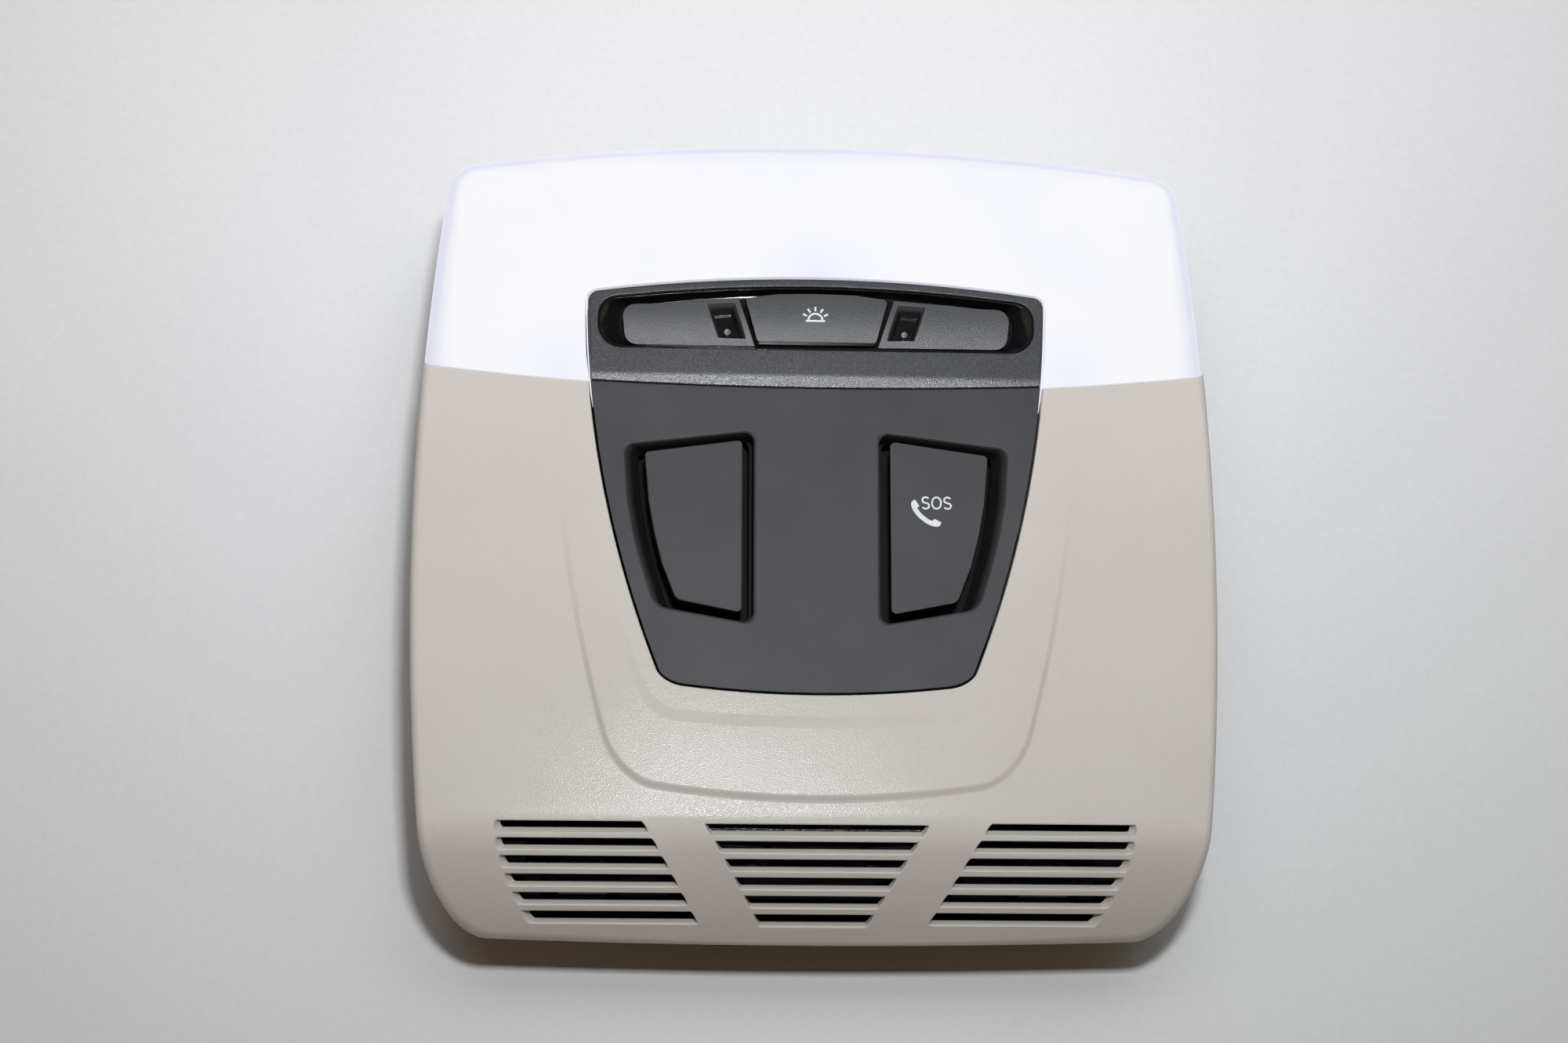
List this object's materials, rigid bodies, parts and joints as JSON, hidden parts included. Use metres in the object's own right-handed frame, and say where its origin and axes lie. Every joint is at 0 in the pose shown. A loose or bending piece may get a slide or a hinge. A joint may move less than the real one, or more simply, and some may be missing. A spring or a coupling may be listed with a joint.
{
  "type": "car interior light",
  "caption": "Overhead car roof lamp unit with a lit wrap-round lens, switch block, hinged emergency call flap and louvred front cover.",
  "frame": {"origin": "middle of the footprint on the plane that the unit's back rests on", "axes": "+Z out of the visible face (towards the cabin floor when fitted), +Y towards the lit lens, +X to the right of the picture"},
  "size_m": [0.2016, 0.2042, 0.0576],
  "materials": {
    "beige_cover": "fine grained, satin",
    "milky_lens": "translucent, glossy",
    "white_tray": "smooth matte",
    "board_green": "varnished circuit board",
    "light_chip": "smooth",
    "panel_grey": "soft-touch, very matte",
    "coarse_black": "coarse grained",
    "gloss_black": "polished",
    "trim_black": "fine grained",
    "clear_pipe": "clear, polished",
    "switch_body": "smooth",
    "plunger_black": "smooth",
    "screw_steel": "plated",
    "tile_grey": "soft-touch, very matte",
    "box_grey": "smooth",
    "call_red": "smooth",
    "chip_black": "smooth",
    "connector_ivory": "smooth",
    "pin_gold": "plated",
    "housing_black": "fine grained",
    "sensor_dark": "polished, dark filter",
    "holder_black": "smooth",
    "can_silver": "pressed can",
    "clip_steel": "formed spring strip"
  },
  "bodies": {
    "lamp_unit": {"front_cover": "beige_cover", "dome_lens": "milky_lens", "reflector_tray": "white_tray", "led_board_left": "board_green", "led_board_right": "board_green", "dome_leds": "light_chip", "fascia_panel": "panel_grey", "switch_block": "coarse_black", "gloss_bezel": "gloss_black", "trim_left": "trim_black", "trim_right": "trim_black", "light_pipe_left": "clear_pipe", "light_pipe_right": "clear_pipe", "dome_switch": "switch_body", "switch_board": "board_green", "board_screws": "screw_steel", "indicator_window": "tile_grey", "indicator_light_box": "box_grey", "flap_hinge_pin": "screw_steel", "call_button_tub": "box_grey", "call_switch": "switch_body", "main_board": "board_green", "board_parts": "chip_black", "wiring_connector": "connector_ivory", "connector_pins": "pin_gold", "rear_housing": "housing_black", "housing_back": "housing_black", "grille_shield": "housing_black", "pin_bracket_left": "housing_black", "pin_bracket_right": "housing_black", "sensor_left": "sensor_dark", "sensor_right": "sensor_dark", "sensor_holder_left": "holder_black", "sensor_holder_right": "holder_black", "microphone_holder": "holder_black", "microphones": "can_silver", "spring_clips": "clip_steel", "cover_screws": "screw_steel"},
    "dome_button": {"dome_light_button": "trim_black", "dome_switch_plunger": "plunger_black"},
    "call_lid": {"call_flap": "tile_grey"},
    "call_press": {"call_button": "call_red", "call_switch_plunger": "plunger_black"}
  },
  "joints": [
    {"name": "dome_button_press", "type": "slide", "parent": "lamp_unit", "child": "dome_button", "axis": [0, 0, -1], "range_m": [0, 0.0012], "stiffness_N_per_m": 900, "springref_m": -0.0015},
    {"name": "call_flap_hinge", "type": "hinge", "parent": "lamp_unit", "child": "call_lid", "pos_m": [0.0206, 0, 0.0521], "axis": [0, -1, 0], "range_deg": [0, 85]},
    {"name": "call_button_press", "type": "slide", "parent": "lamp_unit", "child": "call_press", "axis": [0, 0, -1], "range_m": [0, 0.001], "stiffness_N_per_m": 900, "springref_m": -0.0015}
  ]
}
